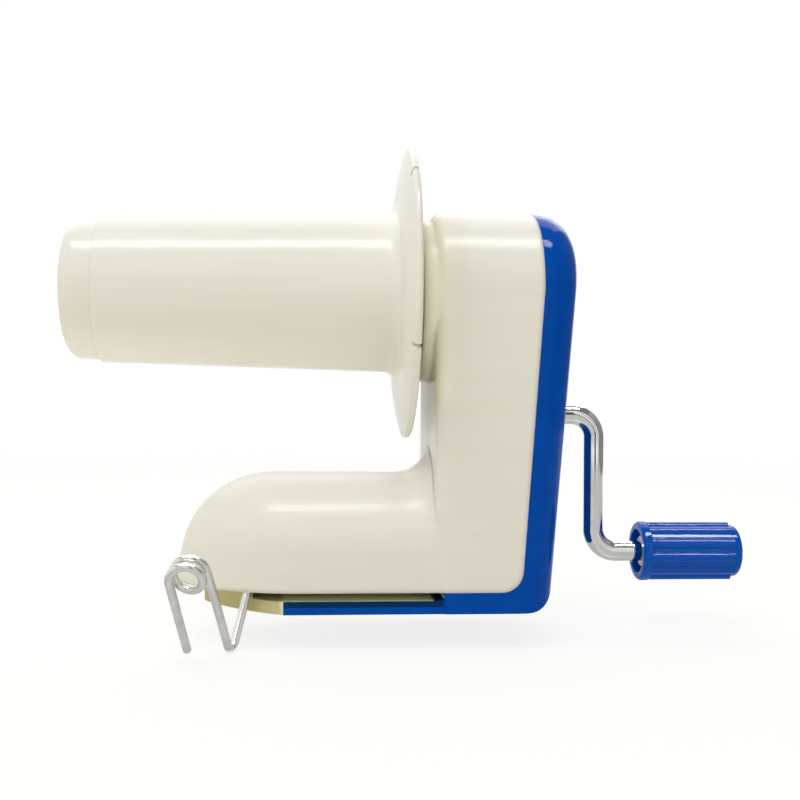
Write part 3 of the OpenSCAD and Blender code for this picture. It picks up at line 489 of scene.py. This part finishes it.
class WINDER_OT_crank(bpy.types.Operator):
    """Finish the plated crank rod"""

    bl_idname = "winder.crank"
    bl_label = "Crank rod"

    def execute(self, context):
        look = context.scene.winder_metal
        dress(("crank_rod",), drawn_metal(
            "bright_plating", look.bright, look.bright_roughness, look.draw_marks,
            look.edge, ROD_STREAK_RATE,
        ))
        return {"FINISHED"}


class WINDER_OT_guide(bpy.types.Operator):
    """Finish the wire yarn guide"""

    bl_idname = "winder.guide"
    bl_label = "Yarn guide"

    def execute(self, context):
        look = context.scene.winder_metal
        dress(("yarn_guide",), drawn_metal(
            "guide_wire", look.wire, look.wire_roughness, look.draw_marks,
            look.edge, WIRE_STREAK_RATE,
        ), WIRE_EDGE)
        return {"FINISHED"}


class WINDER_OT_gears(bpy.types.Operator):
    """Finish the nylon gears and the rotor head"""

    bl_idname = "winder.gears"
    bl_label = "Gears"

    def execute(self, context):
        look = context.scene.winder_plastic
        deep = tuple(NYLON_DEEP_SHARE * part for part in look.nylon)
        dress(NYLON_PIECES, moulded(
            "nylon_moulding", look.nylon, deep, look.satin, look.grain, look.gear_edge,
        ))
        return {"FINISHED"}


class WINDER_OT_hardware(bpy.types.Operator):
    """Finish the screws, pins, shafts and bushes"""

    bl_idname = "winder.hardware"
    bl_label = "Hardware"

    def execute(self, context):
        look = context.scene.winder_metal
        dress(STEEL_PIECES, drawn_metal(
            "plain_steel", look.steel, look.plain_roughness, look.draw_marks,
            look.edge, TURNED_STREAK_RATE,
        ))
        dress(BRONZE_PIECES, drawn_metal(
            "bronze_bush", look.bronze, look.plain_roughness, look.draw_marks,
            look.edge, TURNED_STREAK_RATE,
        ))
        return {"FINISHED"}


def studio_world(look):
    """Even light from all around, with a white background."""
    world = bpy.data.worlds.new("studio")
    world.use_nodes = True
    nodes = Nodes(world.node_tree)
    nodes.tree.nodes.clear()
    light = nodes.add("ShaderNodeBackground", Color=(*look.sky_tint, 1.0), Strength=look.sky)
    white = nodes.add("ShaderNodeBackground", Color=WHITE)
    nodes.add("ShaderNodeOutputWorld", Surface=nodes.mixed(nodes.seen_white(), light, white))
    return world


def floor_material(look):
    """Pale floor that shows as white, most of all far out, and still keeps the shadow."""
    material = bpy.data.materials.new("studio_floor")
    material.use_nodes = True
    nodes = Nodes(material.node_tree)
    nodes.tree.nodes.clear()
    away = nodes.add("ShaderNodeVectorMath")
    away.operation = "LENGTH"
    nodes.feed(away, 0, nodes.local())
    fade = nodes.add(
        "ShaderNodeMapRange", Value=away.outputs["Value"],
        From_Min=look.floor_near, From_Max=look.floor_far, To_Min=look.floor_white,
    )
    factor = nodes.maths("MULTIPLY", nodes.seen_white(), fade.outputs["Result"])
    matt = nodes.add("ShaderNodeBsdfDiffuse", Color=(*look.floor, 1.0))
    white = nodes.add("ShaderNodeEmission", Color=WHITE)
    nodes.add("ShaderNodeOutputMaterial", Surface=nodes.mixed(factor, matt, white))
    return material


def lay_floor(look):
    """A round floor under the lowest point of the winder."""
    mesh = bpy.data.meshes.new("floor")
    turns = [math.tau * step / FLOOR_STEPS for step in range(FLOOR_STEPS)]
    rim = [
        (look.floor_radius * math.cos(turn), look.floor_radius * math.sin(turn), FLOOR_Z)
        for turn in turns
    ]
    mesh.from_pydata(rim, [], [tuple(range(FLOOR_STEPS))])
    mesh.materials.append(floor_material(look))
    floor = bpy.data.objects.new("floor", mesh)
    bpy.context.scene.collection.objects.link(floor)


def turned_to(place, target, front):
    """The turn that points the front of a thing at a target."""
    return (Vector(target) - Vector(place)).to_track_quat(front, "Y").to_euler()


def soft_box(name, power, tint, place, width, height):
    """A rectangular soft box that points at the winder."""
    lamp = bpy.data.lights.new(name, "AREA")
    lamp.shape = "RECTANGLE"
    lamp.size, lamp.size_y = width, height
    lamp.energy = power
    lamp.color = tint
    made = bpy.data.objects.new(name, lamp)
    made.location = place
    made.rotation_euler = turned_to(place, MIDDLE, "-Z")
    bpy.context.scene.collection.objects.link(made)


def grey_card(name, level, place, width, height, target=MIDDLE):
    """A grey or bright card that only mirror-like surfaces see."""
    mesh = bpy.data.meshes.new(name)
    w, h = width / 2, height / 2
    mesh.from_pydata([(-w, -h, 0), (w, -h, 0), (w, h, 0), (-w, h, 0)], [], [(0, 1, 2, 3)])
    card = bpy.data.objects.new(name, mesh)
    card.location = place
    card.rotation_euler = turned_to(place, target, "Z")
    card.visible_camera = False
    card.visible_diffuse = False
    card.visible_shadow = False
    card.visible_transmission = False
    mesh.materials.append(Finish(name).done(
        Base_Color=BLACK, Emission_Color=(level, level, level, 1.0), Emission_Strength=1.0,
    ))
    bpy.context.scene.collection.objects.link(card)


def light_studio(look):
    """Soft boxes for the light, and cards for what the glossy pieces mirror."""
    soft_box("key_light", look.key, look.lamp_tint,
             place=(-0.25, -0.35, 0.85), width=0.7, height=0.5)
    soft_box("top_light", look.top, look.lamp_tint,
             place=(-0.05, 0.55, 0.75), width=1.3, height=0.7)
    soft_box("fill_light", look.fill, look.lamp_tint,
             place=(0.1, -1.0, 0.3), width=0.8, height=0.8)
    grey_card("left_card", level=0.95, place=(-0.9, -0.45, 0.2), width=0.7, height=0.9)
    grey_card("right_card", level=0.25, place=(0.75, 0.05, 0.2), width=1.5, height=0.9)
    grey_card("room", look.room, place=(0.0, -1.4, 0.2), width=2.6, height=1.5)
    grey_card("tripod", level=0.03, place=(0.15, -0.8, 0.2), width=0.22, height=1.2,
              target=(0.15, 0.0, 0.2))
    grey_card("ceiling", level=0.2, place=(0.0, 0.0, 1.3), width=3.0, height=3.0)
    grey_card("window", look.window, place=(0.05, -0.28, 0.95), width=0.9, height=0.2)
    grey_card("apron", level=0.55, place=(0.25, -0.3, FLOOR_Z + APRON_LIFT),
              width=1.7, height=1.0, target=(0.25, -0.3, 1.0))


def place_camera(look):
    """The camera, level in front of the winder."""
    camera = bpy.data.objects.new("camera", bpy.data.cameras.new("camera"))
    camera.data.sensor_width = SENSOR_WIDTH
    camera.data.lens = look.lens
    camera.data.clip_start = CLIP_START
    camera.matrix_world = (
        Matrix.Translation(look.camera_place)
        @ Matrix.Rotation(-look.camera_yaw, 4, "Z")
        @ Matrix.Rotation(math.pi / 2, 4, "X")
        @ Matrix.Rotation(look.camera_roll, 4, "Z")
    )
    bpy.context.scene.collection.objects.link(camera)
    bpy.context.scene.camera = camera


class WINDER_OT_studio(bpy.types.Operator):
    """Set up the floor, the light and the camera"""

    bl_idname = "winder.studio"
    bl_label = "Studio"

    def execute(self, context):
        look = context.scene.winder_studio
        context.scene.view_settings.view_transform = "Standard"
        context.scene.world = studio_world(look)
        lay_floor(look)
        light_studio(look)
        place_camera(look)
        return {"FINISHED"}


OPERATORS = (
    WINDER_OT_casing, WINDER_OT_cover, WINDER_OT_bobbin, WINDER_OT_knob,
    WINDER_OT_crank, WINDER_OT_guide, WINDER_OT_gears, WINDER_OT_hardware,
    WINDER_OT_studio,
)
SETTINGS = {
    "winder_plastic": WinderPlastic,
    "winder_metal": WinderMetal,
    "winder_studio": WinderStudio,
}


class WINDER_PT_panel(bpy.types.Panel):
    """The winder's pieces and its studio"""

    bl_idname = "WINDER_PT_panel"
    bl_label = "Yarn ball winder"
    bl_space_type = "VIEW_3D"
    bl_region_type = "UI"
    bl_category = "Winder"

    def draw(self, context):
        for operator in OPERATORS:
            self.layout.operator(operator.bl_idname)
        for name, group in SETTINGS.items():
            box = self.layout.box()
            for setting in group.__annotations__:
                box.prop(getattr(context.scene, name), setting)


def register():
    """Make the settings, operators and panel known."""
    for name, group in SETTINGS.items():
        bpy.utils.register_class(group)
        setattr(bpy.types.Scene, name, PointerProperty(type=group))
    for operator in OPERATORS:
        bpy.utils.register_class(operator)
    bpy.utils.register_class(WINDER_PT_panel)


def unregister():
    """Take the panel, operators and settings out again."""
    bpy.utils.unregister_class(WINDER_PT_panel)
    for operator in reversed(OPERATORS):
        bpy.utils.unregister_class(operator)
    for name, group in SETTINGS.items():
        delattr(bpy.types.Scene, name)
        bpy.utils.unregister_class(group)


def main():
    """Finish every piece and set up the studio."""
    register()
    bpy.ops.winder.casing()
    bpy.ops.winder.cover()
    bpy.ops.winder.bobbin()
    bpy.ops.winder.knob()
    bpy.ops.winder.crank()
    bpy.ops.winder.guide()
    bpy.ops.winder.gears()
    bpy.ops.winder.hardware()
    bpy.ops.winder.studio()


if __name__ == "__main__":
    main()
